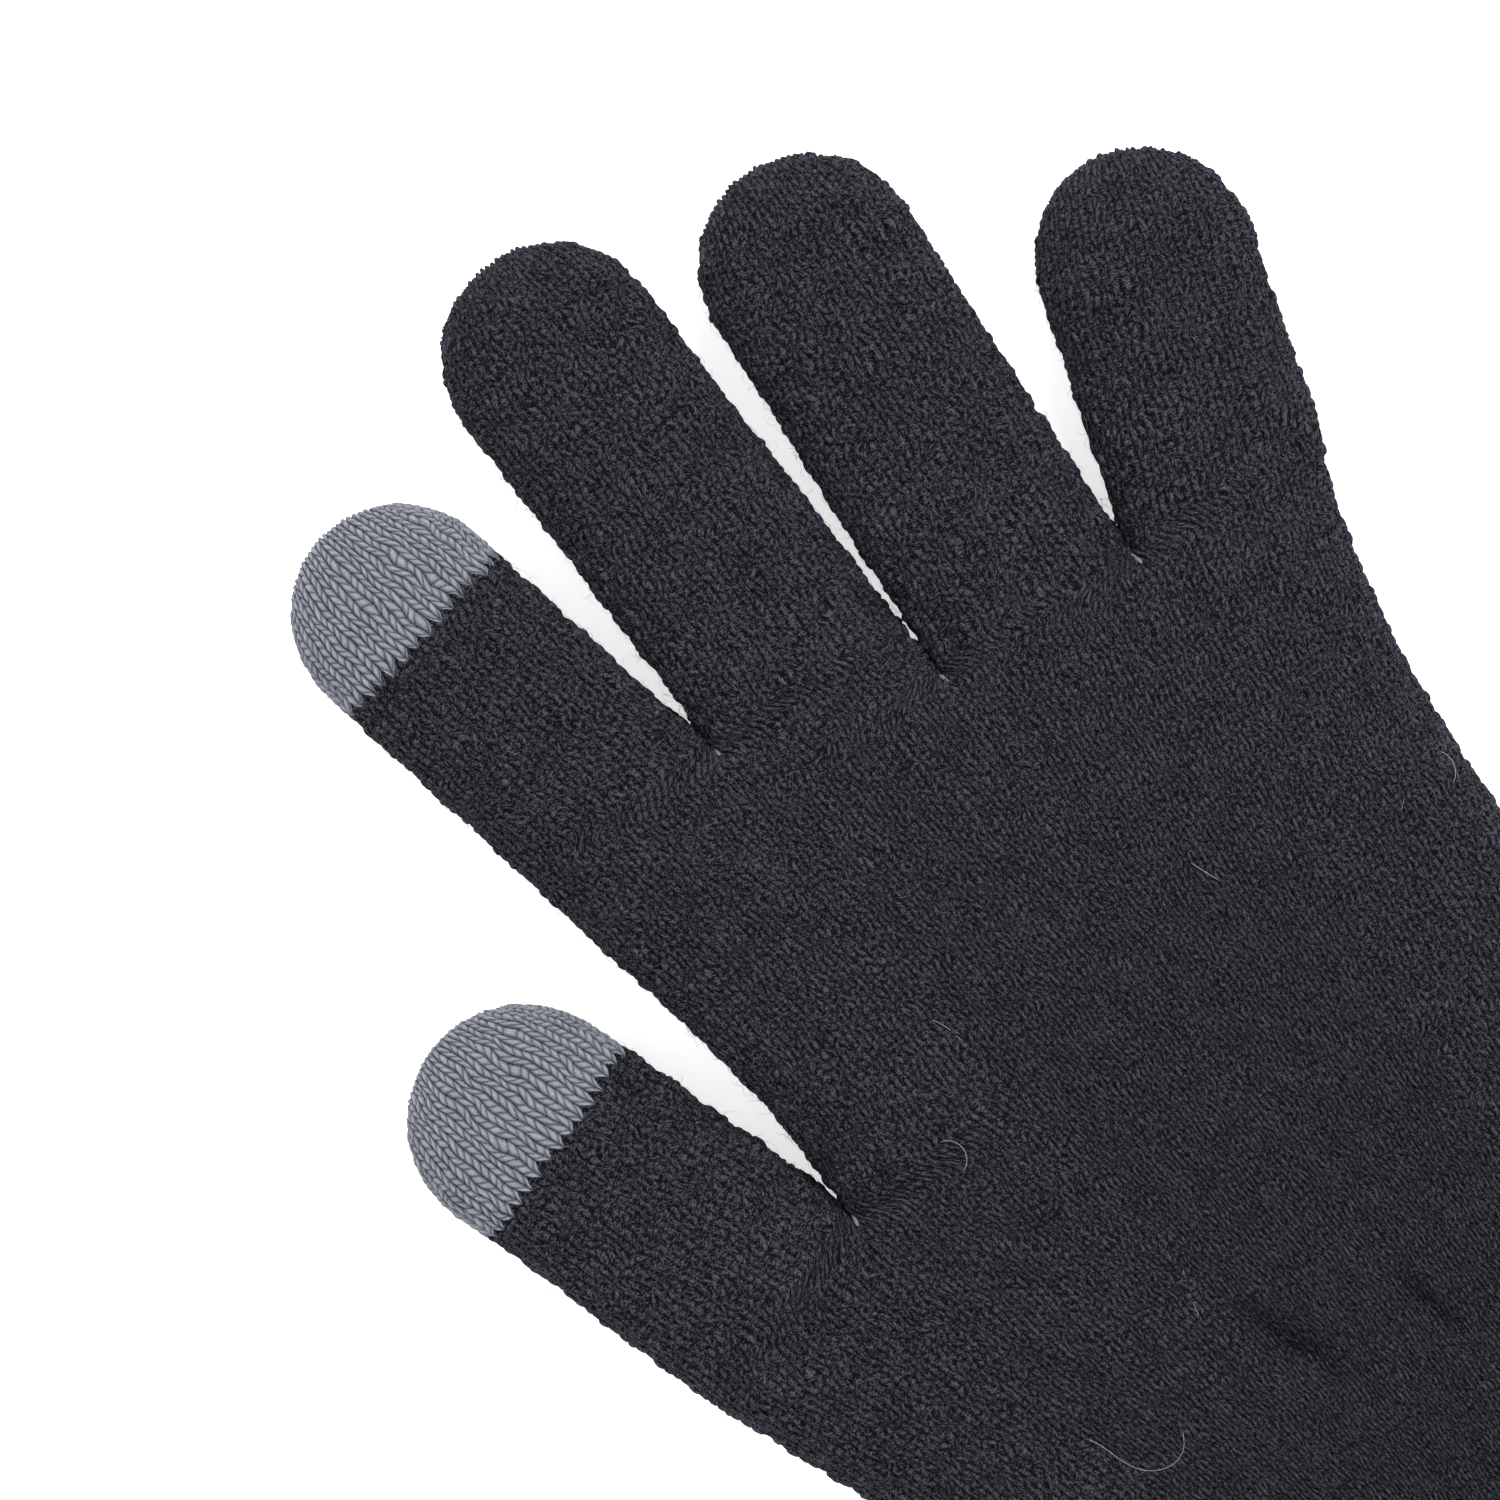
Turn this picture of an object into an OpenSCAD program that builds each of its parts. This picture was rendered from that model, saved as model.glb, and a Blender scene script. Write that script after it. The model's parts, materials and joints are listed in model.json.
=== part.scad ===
// A knitted touchscreen glove lying palm up: +Y runs from the cuff to the fingertips, +Z is up,
// and the origin is on the surface it lies on, under the middle of its bounding box.

/* [Knit] */
// Thickness of the brushed knit
wall = 2; // [1.6:0.1:2.4]
// Gap left between two lengths of a tube where it bends
fold_gap = 0.4; // [0.3:0.1:0.6]

/* [Hand] */
// Thickness of the hand tube in the middle of the palm
palm_h = 18; // [16:0.5:20]
// Thickness of the hand tube at the wrist
wrist_h = 15; // [14:0.5:16]
// Thickness of a finger tube
finger_h = 13; // [12:0.5:14]

/* [Fingers] */
// Width of the little finger, lying flat
little_w = 25.4; // [24:0.2:26]
// Length of the little finger from its crotch
little_len = 44.9; // [42:0.1:48]
// Width of the ring finger, lying flat
ring_w = 26.2; // [24:0.2:26.4]
// Length of the ring finger from its crotch
ring_len = 61.5; // [58:0.1:64]
// Width of the middle finger, lying flat
middle_w = 26.4; // [24:0.2:26.8]
// Length of the middle finger from its higher crotch
middle_len = 60.8; // [58:0.1:64]
// Width of the index finger, lying flat
index_w = 25.4; // [24:0.2:26]
// Length of the index finger from its crotch
index_len = 50; // [48:0.1:53]
// Width of the thumb, lying flat
thumb_w = 27; // [25:0.2:28]
// Length of the thumb from its crotch
thumb_len = 50.1; // [48:0.1:53]

/* [Cuff] */
// Length of the ribbed cuff without its hem
cuff_len = 51; // [44:1:60]
// Number of elastic yarns knitted into the cuff
elastic_count = 6; // [3:1:8]
// Length of the overlocked hem
hem_len = 3; // [2:0.5:4]

/* [Hidden] */

navy = [0.16, 0.17, 0.2];
grey = [0.5, 0.51, 0.56];
elastic_colour = [0.75, 0.75, 0.72];

around = 32;         // points round a tube's section
squareness = 2.4;    // 2 is an ellipse, more is boxier
sink = 1.12;         // how far a section's lower half would reach below the surface it lies on
station_step = 5;    // longest stretch of finger tube between two sections
hand_step = 10;      // longest stretch of the hand or cuff between two sections
dome_steps = 5;      // sections along a closed fingertip
blunt_tip = 0.12;    // share of a fingertip's section that is left where it closes
root_len = 12;       // how far a finger tube reaches back into the hand tube
middle_root_len = 18; // the middle finger stands higher, so its tube reaches further back
thumb_root_len = 40; // the thumb's tube runs on down inside the hand
root_rise = 0.1;     // how much a root thickens for each millimetre it reaches back
stub_len = 8;        // length of finger tube left on the hand before the first fold
thumb_skew = 15;     // how far the thumb's first fold turns from square, so that it folds over the palm
overrun = 1;         // how far a cavity is cut past an open end
root_cover = 5;      // knit left round the root of a finger's cavity
wrist_y = -70;       // where the cuff is joined to the hand
palm_top_y = 55;     // where the hand tube divides into fingers, on its middle line
knuckle_slope = -0.09; // the divide runs lower towards the little finger
knuckle_start_y = 15;  // where the sections begin to turn to that slope
yarn_r = 0.7;        // radius of a closing yarn
knot_r = 1.3;        // radius of its knot
yarn_tail = 3.5;     // length of its loose end
yarn_around = 24;    // facets round a closing yarn
knot_clear = 0.6;    // room between the knot and the end of the tip
elastic_r = 0.5;     // half the thickness of an elastic yarn
elastic_clear = 0.1; // room between an elastic yarn and the knit around it

// A finger: where its crotch line crosses its axis, how far it leans towards the thumb, its width and
// length, how much wider it is at its root, where it bends, measured along it from the crotch, and how
// far its first fold turns from square. The four fingers' first folds lie along X, as the knuckles do.
// [x, y, lean, width, length, flare, [folds], skew]
little = [51.4, 49.9, -16.5, little_w, little_len, 0.6, [stub_len, 19, 30.5], 16.5];
ring = [25.6, 54.2, -2, ring_w, ring_len, 0.4, [stub_len, 26, 43], 2];
middle = [-1.7, 63.8, 2.5, middle_w, middle_len, 0, [stub_len, 25, 42], -2.5];
index = [-28.3, 60.3, 12.5, index_w, index_len, 0.8, [stub_len, 20, 32.2], -12.5];
thumb = [-46.5, 4.5, 20, thumb_w, thumb_len, 1, [stub_len, 22, 30.7], thumb_skew];

// The hand and cuff as stations along Y: [y, left edge], [y, right edge] and [y, thickness]
left_edge = [[-126, -35], [-100, -30], [-84, -29], [-70, -30], [-60, -35], [-50, -40.5],
    [-38, -46.4], [-28, -40], [-15, -36], [0, -34], [20, -33.4], [40, -36.6], [47, -38.9], [55, -39.6]];
right_edge = [[-126, 49], [-100, 46], [-84, 45], [-70, 46], [-50, 50.5], [-25, 55],
    [5, 56.8], [25, 57.9], [35, 60.6], [45, 62.6], [55, 64]];
thickness = [[-126, wrist_h], [-70, wrist_h], [-45, palm_h - 1], [-10, palm_h], [20, palm_h],
    [40, palm_h - 2], [55, finger_h + 1]];
cuff_end_y = wrist_y - cuff_len;

// ---- sections and lofts ----

// One point of a superellipse's outline along one axis
function bulge(c) = sign(c) * pow(abs(c), 2 / squareness);

// A tube's outline at y, centred on x, standing on z = floor_z and flat where it lies. A shear turns
// the outline's plane from square across the tube.
function section(x, y, w, mid_z, half_h, floor_z, shear = 0) = [
    for (i = [0 : around - 1])
        let (
            a = 360 * i / around,
            out = w / 2 * bulge(cos(a)),
            up = bulge(sin(a)) * half_h,
            z = mid_z + (up < 0 ? up * sink : up)
        )
        [x + out, y + shear * out, max(z, floor_z)]
];

// A closed solid through a row of sections
module loft(rings) {
    last = len(rings) - 1;
    points = [for (ring_points = rings, p = ring_points) p];
    sides = [
        for (r = [0 : last - 1], i = [0 : around - 1])
            let (a = r * around + i, b = r * around + (i + 1) % around)
            [a, b, b + around, a + around]
    ];
    start_cap = [for (i = [around - 1 : -1 : 0]) i];
    end_cap = [for (i = [0 : around - 1]) last * around + i];
    polyhedron(points = points, faces = concat([start_cap], sides, [end_cap]), convexity = 4);
}

// ---- fingers, each in its own frame: the axis is Y and the crotch is at 0 ----

module place(finger) {
    translate([finger[0], finger[1], 0]) rotate([0, 0, finger[2]]) children();
}

// Width of a finger at s before its tip rounds off
function finger_width(finger, s) = finger[3] + finger[5] * (1 - max(0, s) / finger[4]);

// Slope of the section at s: the skew up to the first fold, fading out by the second
function finger_shear(finger, s) =
    let (first = finger[6][0], second = finger[6][1])
    tan(finger[7]) * min(1, max(0, (second - s) / (second - first)));

// Section of a finger at s, drawn in by skin: 0 for the outside and the wall for the cavity
function finger_section(finger, s, skin) =
    let (
        end = finger[4] - skin,
        dome = finger[3] / 2 - skin,
        t = min(1, max(0, (s - (end - dome)) / dome)),
        round_off = max(blunt_tip, sqrt(1 - t * t)),
        rise = s < 0 ? -s * root_rise : 0
    )
    section(0, s, (finger_width(finger, s) - 2 * skin) * round_off, finger_h / 2,
        (finger_h / 2 + rise - skin) * round_off, skin, finger_shear(finger, s));

// Stations from a to b: even steps, and closer ones round the fingertip
function stations(finger, a, b, skin) =
    let (
        end = finger[4] - skin,
        dome_start = end - (finger[3] / 2 - skin),
        straight_end = min(b, dome_start),
        steps = max(1, ceil((straight_end - a) / station_step)),
        straight = [for (i = [0 : steps]) a + (straight_end - a) * i / steps]
    )
    b < end ? straight
        : concat(
            straight,
            [for (i = [1 : dome_steps]) dome_start + (end - dome_start) * sin(90 * i / dome_steps)]
        );

module finger_solid(finger, a, b, skin) {
    loft([for (s = stations(finger, a, b, skin)) finger_section(finger, s, skin)]);
}

// A length of finger tube, open at both ends
module finger_length(finger, a, b) {
    place(finger) difference() {
        finger_solid(finger, a, b, 0);
        finger_solid(finger, a - overrun, b + overrun, wall);
    }
}

// The end of a finger tube, closed at the tip
module finger_end(finger, a) {
    place(finger) difference() {
        finger_solid(finger, a, finger[4], 0);
        finger_solid(finger, a - overrun, finger[4], wall);
    }
}

module finger_base(finger) {
    color(navy) finger_length(finger, finger[6][0] + fold_gap / 2, finger[6][1] - fold_gap / 2);
}

module finger_middle(finger) {
    color(navy) finger_length(finger, finger[6][1] + fold_gap / 2, finger[6][2] - fold_gap / 2);
}

module finger_tip(finger, tip_colour) {
    color(tip_colour) finger_end(finger, finger[6][2] + fold_gap / 2);
}

// The yarn that draws a fingertip shut: a knot inside the tip with a short loose end
module closing_yarn(finger, yarn_colour) {
    knot_y = finger[4] - wall - knot_r - knot_clear;
    color(yarn_colour) place(finger) translate([0, knot_y, finger_h / 2]) {
        sphere(r = knot_r, $fn = yarn_around);
        rotate([90, 0, 0]) cylinder(r = yarn_r, h = yarn_tail + knot_r, $fn = yarn_around);
    }
}

// ---- hand ----

function hand_section(y, skin) =
    let (
        left = lookup(y, left_edge) + skin,
        right = lookup(y, right_edge) - skin,
        h = lookup(y, thickness),
        turn = min(1, max(0, (y - knuckle_start_y) / (palm_top_y - knuckle_start_y)))
    )
    section((left + right) / 2, y, right - left, h / 2, h / 2 - skin, skin, knuckle_slope * turn);

module hand_solid(a, b, skin) {
    steps = ceil((b - a) / hand_step);
    loft([for (i = [0 : steps]) hand_section(a + (b - a) * i / steps, skin)]);
}

// A finger's stub with its root inside the hand
module finger_root(finger, root, skin) {
    past = skin > 0 ? overrun : 0;
    cover = skin > 0 ? root_cover : 0;
    place(finger) finger_solid(finger, cover - root, stub_len - fold_gap / 2 + past, skin);
}

// Every tube of the hand joined into one solid, drawn in by skin
module hand_form(skin) {
    past = skin > 0 ? overrun : 0;
    hand_solid(wrist_y + fold_gap / 2 - past, palm_top_y - skin, skin);
    finger_root(little, root_len, skin);
    finger_root(ring, root_len, skin);
    finger_root(middle, middle_root_len, skin);
    finger_root(index, root_len, skin);
    finger_root(thumb, thumb_root_len, skin);
}

module hand_tube() {
    color(navy) difference() {
        hand_form(0);
        hand_form(wall);
    }
}

// ---- cuff ----

module cuff_tube(a, b, skin) {
    difference() {
        hand_solid(a, b, skin);
        hand_solid(a - overrun, b + overrun, wall);
    }
}

module wrist_cuff() {
    color(navy) cuff_tube(cuff_end_y, wrist_y - fold_gap / 2, 0);
}

module cuff_hem() {
    color(navy) cuff_tube(cuff_end_y - hem_len, cuff_end_y, 0);
}

// Elastic yarns lying round the inside of the cuff, one above the other
module cuff_elastic() {
    spacing = cuff_len / elastic_count;
    outer = wall + elastic_clear;
    inner = outer + 2 * elastic_r;
    color(elastic_colour) for (i = [0 : elastic_count - 1]) {
        y = cuff_end_y + spacing * (i + 0.5);
        difference() {
            hand_solid(y - elastic_r, y + elastic_r, outer);
            hand_solid(y - elastic_r - overrun, y + elastic_r + overrun, inner);
        }
    }
}

hand_tube();
wrist_cuff();
cuff_elastic();
cuff_hem();
finger_base(little);  // little_base
finger_middle(little);  // little_middle
finger_tip(little, navy);  // little_tip
closing_yarn(little, navy);  // little_closing_yarn
finger_base(ring);  // ring_base
finger_middle(ring);  // ring_middle
finger_tip(ring, navy);  // ring_tip
closing_yarn(ring, navy);  // ring_closing_yarn
finger_base(middle);  // middle_base
finger_middle(middle);  // middle_middle
finger_tip(middle, navy);  // middle_tip
closing_yarn(middle, navy);  // middle_closing_yarn
finger_base(index);  // index_base
finger_middle(index);  // index_middle
finger_tip(index, grey);  // index_touch_tip
closing_yarn(index, grey);  // index_closing_yarn
finger_base(thumb);  // thumb_base
finger_middle(thumb);  // thumb_sleeve
finger_tip(thumb, grey);  // thumb_touch_tip
closing_yarn(thumb, grey);  // thumb_closing_yarn
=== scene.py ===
"""A knitted touchscreen glove, palm up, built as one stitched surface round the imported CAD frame.

The glove is five strips of knitting side by side: thumb, index, middle, ring and little finger. Each
strip is a grid whose columns follow the wales and whose rows follow the courses. The strips share
their edges in the palm, part at the crotches and close over the fingertips. Every stitch is raised
in the mesh. The surface is then cut into pieces at the joints. Lengths are in millimetres.
"""
import json
import math

import bpy
import numpy as np
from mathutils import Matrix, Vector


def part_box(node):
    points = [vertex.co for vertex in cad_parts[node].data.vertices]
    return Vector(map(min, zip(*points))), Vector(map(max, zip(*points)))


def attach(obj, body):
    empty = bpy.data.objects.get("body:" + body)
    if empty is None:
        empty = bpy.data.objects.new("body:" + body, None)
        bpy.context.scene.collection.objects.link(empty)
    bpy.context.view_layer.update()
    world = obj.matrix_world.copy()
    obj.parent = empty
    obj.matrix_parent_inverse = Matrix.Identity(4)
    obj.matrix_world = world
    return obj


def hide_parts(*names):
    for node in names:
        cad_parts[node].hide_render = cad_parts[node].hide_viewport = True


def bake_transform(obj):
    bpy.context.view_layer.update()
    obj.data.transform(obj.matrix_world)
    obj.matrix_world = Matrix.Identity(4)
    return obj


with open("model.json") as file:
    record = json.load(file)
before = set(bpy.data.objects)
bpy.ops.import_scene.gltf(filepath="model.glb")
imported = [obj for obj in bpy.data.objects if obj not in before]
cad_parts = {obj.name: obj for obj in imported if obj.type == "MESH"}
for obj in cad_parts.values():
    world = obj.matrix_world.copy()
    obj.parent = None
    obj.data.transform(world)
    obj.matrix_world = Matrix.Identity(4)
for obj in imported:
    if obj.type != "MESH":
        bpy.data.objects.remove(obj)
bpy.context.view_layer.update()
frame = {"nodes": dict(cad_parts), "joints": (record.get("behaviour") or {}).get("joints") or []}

MM = 0.001
RANDOM_SEED = 11

# ---- sizes ----

COURSE = 1.3             # height of a stitch
WALES = 16               # stitches across one face of a finger
COLUMNS_PER_WALE = 8
ROWS_PER_COURSE = 4
ROW_STEP = COURSE / ROWS_PER_COURSE
COLUMNS = WALES * COLUMNS_PER_WALE
WALE_SHIFT = 0.25        # puts the silhouette in the middle of a stitch's leg
SLANT = 0.9              # courses that a stitch's leg climbs across half a wale
COURSE_PHASE = SLANT / 2  # lines the mesh rows up with the notches between legs
HAND_FIRST_COURSE = 200  # course number where the hand's fine rows start

FIRST_FOLD = 8.0         # from a finger's crotch line to its first fold, as in the CAD
FINGER_HALF_H = 6.5
SQUARENESS = 2.4
SINK = 1.12              # how far the lower half would reach below the surface the glove lies on
FLOOR = 0.4              # room left under the glove for the stitches' relief

HEM_TOP = -121.0
HEM_END = -124.0
TUCK = 0.8               # length of the cuff's knit inside the hem
HEM_DRAW = 3.0           # length of cuff over which the ribs are drawn in under the hem
HAND_START = -60.0       # fine rows start here, above the wrist fold
WRIST_Y = -70.0
CUFF_ROWS = 106

# How far the stitches stand out, in the brushed black knit and the smooth grey one
BLACK_RELIEF = 0.42
GREY_RELIEF = 0.46
RIB_RELIEF = 1.25
RIB_SHADE = 1.3          # the purl wales between the ribs lie in shadow
RIB_CALM = 0.3           # the stretched cuff's stitches lie straighter
MEAN_RELIEF = 0.15       # taken off, so that the stitches stand half in and half out of the CAD's size
# How unevenly the stitches lie: black and grey, in wales and in courses
WALE_WANDER = (0.24, 0.2)
COURSE_WANDER = (0.4, 0.34)
WANDER_CELL = 2.1
LUMP_CELL = 1.7
LUMP_RELIEF = (0.19, 0.06)
ARC_SHARE = 0.85         # wales are spaced by length over the surface, drawn in a little on top
TIP_REACH = 1.04         # length of the rounded end of a finger as a share of half its width

# Outline of the hand, lying flat: [y, x]
RIGHT_EDGE = [(-124, 48.8), (-100, 46), (-84, 45), (-70, 46), (-50, 50.5), (-25, 55), (4, 56.7),
              (18, 57.1), (25, 57.9), (32, 58.7), (38, 60.3), (44, 62.2), (50, 63.9), (54, 65.2)]
CUFF_LEFT_EDGE = [(-124, -34.6), (-100, -30), (-84, -29), (-70, -30)]
THUMB_OUTER_PATH = [(-30, -70), (-35, -60), (-40.5, -50), (-45.6, -38), (-49.7, -23), (-54.7, -12.3)]
PALM_LEFT_EDGE = [(6, -33.3), (9, -33.4), (16, -33.3), (24, -34), (32, -35.2), (40, -36.8), (49, -39.1),
                  (58, -41.3)]
# Half the thickness of the hand and the roots of the fingers: [y, half thickness]
HALF_THICKNESS = [(-126, 7.5), (-70, 7.5), (-45, 8.5), (-10, 9), (20, 9), (40, 8), (55, 7), (72, 6.5),
                  (140, 6.5)]
# Width of the rounded edge of the hand: [y, width]
EDGE_ROUNDING = [(-126, 14), (-70, 14), (-40, 18), (30, 19)]
# Where neighbouring fingers part, and the slope of the line between them in the palm just below
CROTCHES = [(-33.5, 9.1, -0.16), (-15.2, 63.2, -0.13), (12.0, 55.0, 0.0), (39.0, 53.5, 0.16)]
# Where the lines between the strips cross the wrist, as shares of its width
WRIST_SHARES = [0.19, 0.395, 0.6, 0.805]
VALLEY = 4.0             # length of palm over which the groove below a crotch fades out
VALLEY_ROUNDING = 13.0
THUMB_ROUNDING = 14.0
# How far the corners of the outlines above are rounded
EDGE_BLUR = 5
THICKNESS_BLUR = 6
PATH_BLUR = 4
# Lengths over which one shape of the surface turns into the next
CUFF_FADE = 12.0         # the cuff's straight wales into the palm's
THUMB_CUFF_FADE = 10.0
THUMB_THINNING = 24.0    # the palm's thickness into the thumb's
SETTLE = 2.5             # a line between strips into the finger's edge, above a crotch
THUMB_CROTCH_SETTLE = 6.0
LEVEL_SETTLE = 3.0       # the last level row's ends into the finger's edges
INDEX_EDGE_FADE = (52, 14)    # the palm's edge into a finger's: y where it starts, and its length
LITTLE_EDGE_FADE = (45, 13)
FINGER_SECTION_FADE = (14, 22)  # the hand's section into a finger's: start below the crotch, and length
ABOVE_THUMB_FADE = 16.0


def mix(a, b, t):
    return a + (b - a) * t


def ease(t):
    t = np.clip(t, 0, 1)
    return t * t * (3 - 2 * t)


def fade(at, start, length):
    """0 up to `start`, rising smoothly to 1 over `length`."""
    return ease((at - start) / length)


CURVE_STEP = 0.25


def smooth_curve(points, at, blur):
    """Value at `at` of a line through points (position, value), with its corners rounded over `blur`."""
    positions, values = np.array(points, float).T
    reach = 4 * blur
    first = (values[1] - values[0]) / (positions[1] - positions[0])
    last = (values[-1] - values[-2]) / (positions[-1] - positions[-2])
    positions = np.concatenate([[positions[0] - reach], positions, [positions[-1] + reach]])
    values = np.concatenate([[values[0] - first * reach], values, [values[-1] + last * reach]])
    grid = np.arange(positions[0], positions[-1], CURVE_STEP)
    line = np.interp(grid, positions, values)
    offsets = np.arange(-3 * blur, 3 * blur + 0.01, CURVE_STEP)
    kernel = np.exp(-0.5 * (offsets / blur) ** 2)
    half = len(kernel) // 2
    padded = np.pad(line, half, mode="reflect", reflect_type="odd")
    rounded = np.convolve(padded, kernel / kernel.sum(), mode="valid")
    return np.interp(at, grid, rounded[:len(grid)])


def scatter(*keys):
    """A repeatable random number from 0 to 1 for each set of keys."""
    total = sum(np.asarray(k, float) * m for k, m in zip(keys, (12.9898, 78.233, 37.719)))
    value = np.sin(total) * 43758.5453
    return value - np.floor(value)


def lattice_noise(x, y, cell, seed):
    """A smooth random field from -1 to 1 that changes over about `cell` millimetres."""
    x, y = x / cell, y / cell
    column, row = np.floor(x), np.floor(y)
    tx, ty = ease(x - column), ease(y - row)
    corners = [2 * scatter(column + i, row + j, seed) - 1 for j in (0, 1) for i in (0, 1)]
    return mix(mix(corners[0], corners[1], tx), mix(corners[2], corners[3], tx), ty)


# ---- fingers, read from the frame ----

joints = {j["name"]: j for j in frame["joints"]}


def joint_point(name):
    return np.array(joints[name]["pos_m"][:2]) / MM


def node_points(node):
    mesh = frame["nodes"][node].data
    points = np.zeros(len(mesh.vertices) * 3, np.float32)
    mesh.vertices.foreach_get("co", points)
    return points.reshape(-1, 3).astype(float) / MM


class Finger:
    """A finger's own frame: x across it and s along it from its crotch line."""

    def __init__(self, name, first_joint, second_joint, base_node, tip_node):
        self.name = name
        first, second = joint_point(first_joint), joint_point(second_joint)
        self.along = (second - first) / np.linalg.norm(second - first)
        self.across = np.array([self.along[1], -self.along[0]])
        self.lean = math.atan2(-self.along[0], self.along[1])
        self.origin = first - FIRST_FOLD * self.along
        base, tip = node_points(base_node)[:, :2], node_points(tip_node)[:, :2]
        tip_s = (tip - self.origin) @ self.along
        self.length = tip_s.max()
        self.tip_start = tip_s.min()
        self.base_half = np.abs((base - self.origin) @ self.across).max()
        self.tip_half = np.abs((tip - self.origin) @ self.across).max()
        self.second_fold = (second - self.origin) @ self.along

    def half_width(self, s):
        share = (s - FIRST_FOLD) / (self.tip_start - FIRST_FOLD)
        return mix(self.base_half, self.tip_half, np.clip(share, -1, 1))

    def plan(self, x, s):
        """Points of the row frame at x across and s along the finger."""
        x, s = np.asarray(x, float)[..., None], np.asarray(s, float)[..., None]
        return self.origin + x * self.across + s * self.along

    def edge_x(self, side, y):
        """Where the finger's side crosses a level line at y."""
        s = (y - self.origin[1]) / math.cos(self.lean)
        return self.origin[0] - s * math.sin(self.lean) + side * self.half_width(s) / math.cos(self.lean)


FINGERS = [
    Finger("thumb", "thumb_root", "thumb_end_joint", "thumb_base", "thumb_touch_tip"),
    Finger("index", "index_knuckle", "index_middle_joint", "index_base", "index_touch_tip"),
    Finger("middle", "middle_knuckle", "middle_middle_joint", "middle_base", "middle_tip"),
    Finger("ring", "ring_knuckle", "ring_middle_joint", "ring_base", "ring_tip"),
    Finger("little", "little_knuckle", "little_middle_joint", "little_base", "little_tip"),
]

# ---- rows shared by all the strips ----

cuff_rows = np.linspace(HEM_TOP - TUCK, HAND_START, CUFF_ROWS, endpoint=False)
hand_rows = HAND_START + ROW_STEP * np.arange(int(150 / ROW_STEP))
ROW_Y = np.concatenate([cuff_rows, hand_rows])
ROW_COURSE = HAND_FIRST_COURSE + COURSE_PHASE + (ROW_Y - HAND_START) / COURSE
FIRST_HAND_ROW = CUFF_ROWS
CROTCH_ROWS = [int(np.abs(ROW_Y - y).argmin()) for _, y, _ in CROTCHES]

right_edge = smooth_curve(RIGHT_EDGE, ROW_Y, EDGE_BLUR)
cuff_left_edge = smooth_curve(CUFF_LEFT_EDGE, ROW_Y, EDGE_BLUR)
half_thickness = smooth_curve(HALF_THICKNESS, ROW_Y, THICKNESS_BLUR)
edge_rounding = smooth_curve(EDGE_ROUNDING, np.minimum(ROW_Y, EDGE_ROUNDING[-1][0]), THICKNESS_BLUR)


def strip_line(number):
    """x of the line between strips `number` and `number` + 1 at each row up to their crotch."""
    crotch_x, _, slope = CROTCHES[number]
    last = CROTCH_ROWS[number]
    y = ROW_Y[:last + 1]
    left_at_wrist = cuff_left_edge[np.abs(ROW_Y - WRIST_Y).argmin()]
    right_at_wrist = right_edge[np.abs(ROW_Y - WRIST_Y).argmin()]
    wrist_x = mix(left_at_wrist, right_at_wrist, WRIST_SHARES[number])
    span = ROW_Y[last] - WRIST_Y
    t = np.clip((y - WRIST_Y) / span, 0, 1)
    start_slope = 0.5 * (crotch_x - wrist_x) / span
    h_start, h_end = 2 * t ** 3 - 3 * t ** 2 + 1, -2 * t ** 3 + 3 * t ** 2
    h_leave, h_arrive = t ** 3 - 2 * t ** 2 + t, t ** 3 - t ** 2
    palm = h_start * wrist_x + h_end * crotch_x + span * (h_leave * start_slope + h_arrive * slope)
    cuff = mix(cuff_left_edge[:last + 1], right_edge[:last + 1], WRIST_SHARES[number])
    return mix(cuff, palm, fade(y, WRIST_Y - CUFF_FADE / 2, CUFF_FADE))


STRIP_LINES = [strip_line(number) for number in range(4)]


def settle(edge, line, crotch_row, rows, reach=SETTLE):
    """The line below the crotch, then the finger's edge, which starts from the line's end."""
    y = ROW_Y[:rows]
    gap = line[crotch_row] - edge[crotch_row]
    above = edge[:rows] + gap * np.exp(-np.clip(y - ROW_Y[crotch_row], 0, None) / reach)
    above[:crotch_row + 1] = line[:crotch_row + 1]
    return above


def add_courses(course, rows):
    """Course numbers of rows, followed by those of more rows at the usual step."""
    return np.concatenate([course, course[-1] + np.arange(1, rows + 1) / ROWS_PER_COURSE])


ARC_SAMPLES = 161
DOME_SAMPLES = 200
DOME_ARC_SHARE = 0.5     # rows of the domed tip are spaced half by length over it, half by reach
LOWER_EASE = 20          # the flattened lower half leaves the silhouette within 1/20 of its height


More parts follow.
